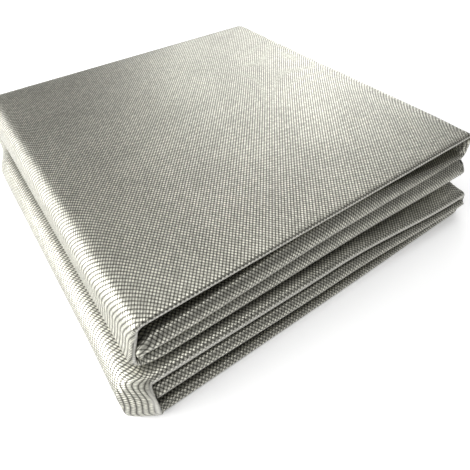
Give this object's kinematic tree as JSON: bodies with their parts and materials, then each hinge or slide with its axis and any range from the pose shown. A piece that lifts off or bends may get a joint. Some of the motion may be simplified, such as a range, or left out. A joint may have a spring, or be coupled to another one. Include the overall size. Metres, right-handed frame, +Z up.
{
  "type": "folded fire blanket",
  "caption": "Folded square of metallised woven cloth: two stacked halves joined by a soft fold at the back, which opens like a book.",
  "frame": {"origin": "on the ground under the middle of the folded blanket's box", "axes": "+X to the right along the front edges, +Y to the back fold, +Z up through the folded layers"},
  "size_m": [0.2438, 0.2702, 0.0563],
  "materials": {
    "cloth": "silver-grey metallised woven glass cloth, satin sheen"
  },
  "bodies": {
    "lower_half": {"lower_bottom_panel": "cloth", "lower_third_panel": "cloth", "lower_second_panel": "cloth", "lower_top_panel": "cloth", "lower_outer_left_fold": "cloth", "lower_inner_left_fold": "cloth", "lower_right_fold": "cloth", "outer_back_fold": "cloth", "second_back_fold": "cloth", "third_back_fold": "cloth", "inner_back_fold": "cloth"},
    "upper_half": {"upper_bottom_panel": "cloth", "upper_third_panel": "cloth", "upper_second_panel": "cloth", "upper_top_panel": "cloth", "upper_bottom_panel_front_fold": "cloth", "upper_third_panel_front_fold": "cloth", "upper_second_panel_front_fold": "cloth", "upper_top_panel_front_fold": "cloth", "upper_outer_left_fold": "cloth", "upper_inner_left_fold": "cloth", "upper_right_fold": "cloth"}
  },
  "joints": [
    {"name": "back_fold_hinge", "type": "hinge", "parent": "lower_half", "child": "upper_half", "pos_m": [0, 0.10693, 0.02815], "axis": [-1, 0, 0], "range_deg": [0, 178], "deforming": ["outer_back_fold", "second_back_fold", "third_back_fold", "inner_back_fold"]}
  ]
}
